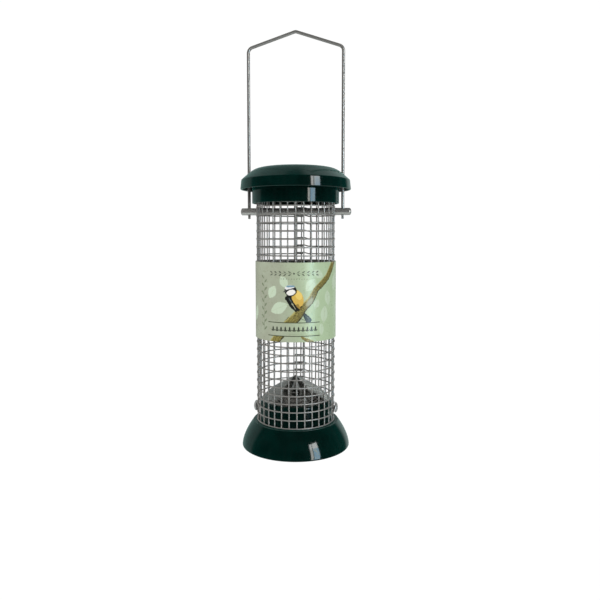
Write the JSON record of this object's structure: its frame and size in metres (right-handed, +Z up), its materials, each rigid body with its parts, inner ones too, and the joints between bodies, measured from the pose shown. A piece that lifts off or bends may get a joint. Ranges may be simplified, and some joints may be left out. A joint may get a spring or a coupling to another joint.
{
  "type": "hanging peanut feeder",
  "caption": "Hanging bird feeder: a round welded-mesh tube with a flared cast base, a printed sleeve and a lid that slides up its wire hanger.",
  "frame": {"origin": "inside of the hanger's peak, where a hook or branch bears", "axes": "+Z up along the tube's axis, +X along the cross bar, -Y the side with the print's picture"},
  "size_m": [0.089, 0.0882, 0.331],
  "materials": {
    "green_enamel": "gloss",
    "stainless_wire": "satin",
    "stainless_mesh": "satin",
    "polished_bar": "polished",
    "rivet_metal": "satin",
    "printed_sleeve": "coated gloss print"
  },
  "bodies": {
    "hanger": {"hanger_wire": "stainless_wire", "cross_bar": "polished_bar"},
    "lid": {"lid": "green_enamel"},
    "feeder": {"mesh_tube": "stainless_mesh", "label_sleeve": "printed_sleeve", "base_casting": "green_enamel", "rivet_left": "rivet_metal", "rivet_right": "rivet_metal"}
  },
  "joints": [
    {"name": "lid_lift", "type": "slide", "parent": "hanger", "child": "lid", "axis": [0, 0, 1], "range_m": [0, 0.09]},
    {"name": "tube_swing", "type": "hinge", "parent": "hanger", "child": "feeder", "pos_m": [0, 0, -0.13905], "axis": [1, 0, 0], "range_deg": [-4, 4]}
  ]
}
